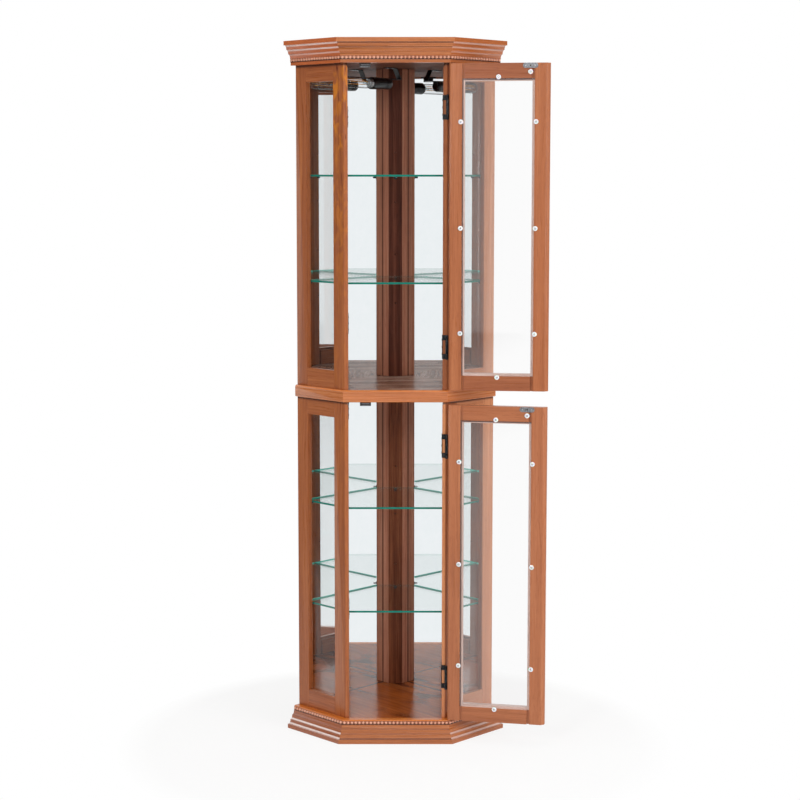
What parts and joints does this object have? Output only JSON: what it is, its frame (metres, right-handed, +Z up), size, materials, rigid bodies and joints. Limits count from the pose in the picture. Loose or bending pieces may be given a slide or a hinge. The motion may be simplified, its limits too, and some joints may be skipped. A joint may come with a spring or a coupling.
{
  "type": "corner curio cabinet",
  "caption": "Tall corner display cabinet with glazed doors and sides, glass shelves, mirrored back, stepped beaded crown and base, and a lamp under the top.",
  "frame": {"origin": "on the floor, on the plane of symmetry of the case, below the front face of the case", "axes": "+X to the right of the cabinet seen from its front, +Y back into the corner of the room, +Z up"},
  "size_m": [0.6723, 0.4534, 1.8],
  "materials": {
    "moulding_wood": "satin red-brown stain",
    "board_veneer": "satin red-brown veneer",
    "back_panel_board": "plain hardboard",
    "post_wood": "satin dark red-brown stain",
    "frame_wood": "satin red-brown stain",
    "door_wood": "satin red-brown stain",
    "mirror_glass": "silvered glass",
    "pane_glass": "clear",
    "shelf_glass": "clear, polished edges",
    "clip_plastic": "clear to white",
    "strike_steel": "zinc plated",
    "hinge_metal": "dark antique",
    "catch_plastic": "black",
    "pin_metal": "black",
    "bracket_metal": "black",
    "socket_plastic": "black",
    "bulb_glass": "clear"
  },
  "bodies": {
    "cabinet": {"base_back_rails": "board_veneer", "base_bead_trim": "moulding_wood", "base_moulding": "moulding_wood", "crown_bead_trim": "moulding_wood", "crown_moulding": "moulding_wood", "floor_board": "board_veneer", "hinge_frame_leaves": "hinge_metal", "hinge_pins": "hinge_metal", "lamp_bracket": "bracket_metal", "lamp_bulb": "bulb_glass", "lamp_socket": "socket_plastic", "lower_corner_post": "post_wood", "lower_left_back_panel": "back_panel_board", "lower_left_front_post": "frame_wood", "lower_left_mirror": "mirror_glass", "lower_left_rear_stile": "frame_wood", "lower_left_side_pane": "pane_glass", "lower_left_side_rails": "frame_wood", "lower_right_back_panel": "back_panel_board", "lower_right_front_post": "frame_wood", "lower_right_mirror": "mirror_glass", "lower_right_rear_stile": "frame_wood", "lower_right_side_pane": "pane_glass", "lower_right_side_rails": "frame_wood", "lower_shelf_high": "shelf_glass", "lower_shelf_low": "shelf_glass", "magnetic_catches": "catch_plastic", "shelf_pins": "pin_metal", "top_board": "board_veneer", "upper_corner_post": "post_wood", "upper_left_back_panel": "back_panel_board", "upper_left_front_post": "frame_wood", "upper_left_mirror": "mirror_glass", "upper_left_rear_stile": "frame_wood", "upper_left_side_pane": "pane_glass", "upper_left_side_rails": "frame_wood", "upper_right_back_panel": "back_panel_board", "upper_right_front_post": "frame_wood", "upper_right_mirror": "mirror_glass", "upper_right_rear_stile": "frame_wood", "upper_right_side_pane": "pane_glass", "upper_right_side_rails": "frame_wood", "upper_shelf_high": "shelf_glass", "upper_shelf_low": "shelf_glass", "waist_board": "board_veneer", "waist_moulding": "moulding_wood"},
    "upper_door": {"upper_door_clips": "clip_plastic", "upper_door_free_stile": "door_wood", "upper_door_hinge_leaves": "hinge_metal", "upper_door_hinge_stile": "door_wood", "upper_door_pane": "pane_glass", "upper_door_rails": "door_wood", "upper_door_strike_plate": "strike_steel"},
    "lower_door": {"lower_door_clips": "clip_plastic", "lower_door_free_stile": "door_wood", "lower_door_hinge_leaves": "hinge_metal", "lower_door_hinge_stile": "door_wood", "lower_door_pane": "pane_glass", "lower_door_rails": "door_wood", "lower_door_strike_plate": "strike_steel"}
  },
  "joints": [
    {"name": "upper_door_hinge", "type": "hinge", "parent": "cabinet", "child": "upper_door", "pos_m": [0.13061, -0.0115, 1.327], "axis": [0, 0, 1], "range_deg": [-173, 7]},
    {"name": "lower_door_hinge", "type": "hinge", "parent": "cabinet", "child": "lower_door", "pos_m": [0.13061, -0.0115, 0.469], "axis": [0, 0, 1], "range_deg": [-168.5, 11.5]}
  ]
}
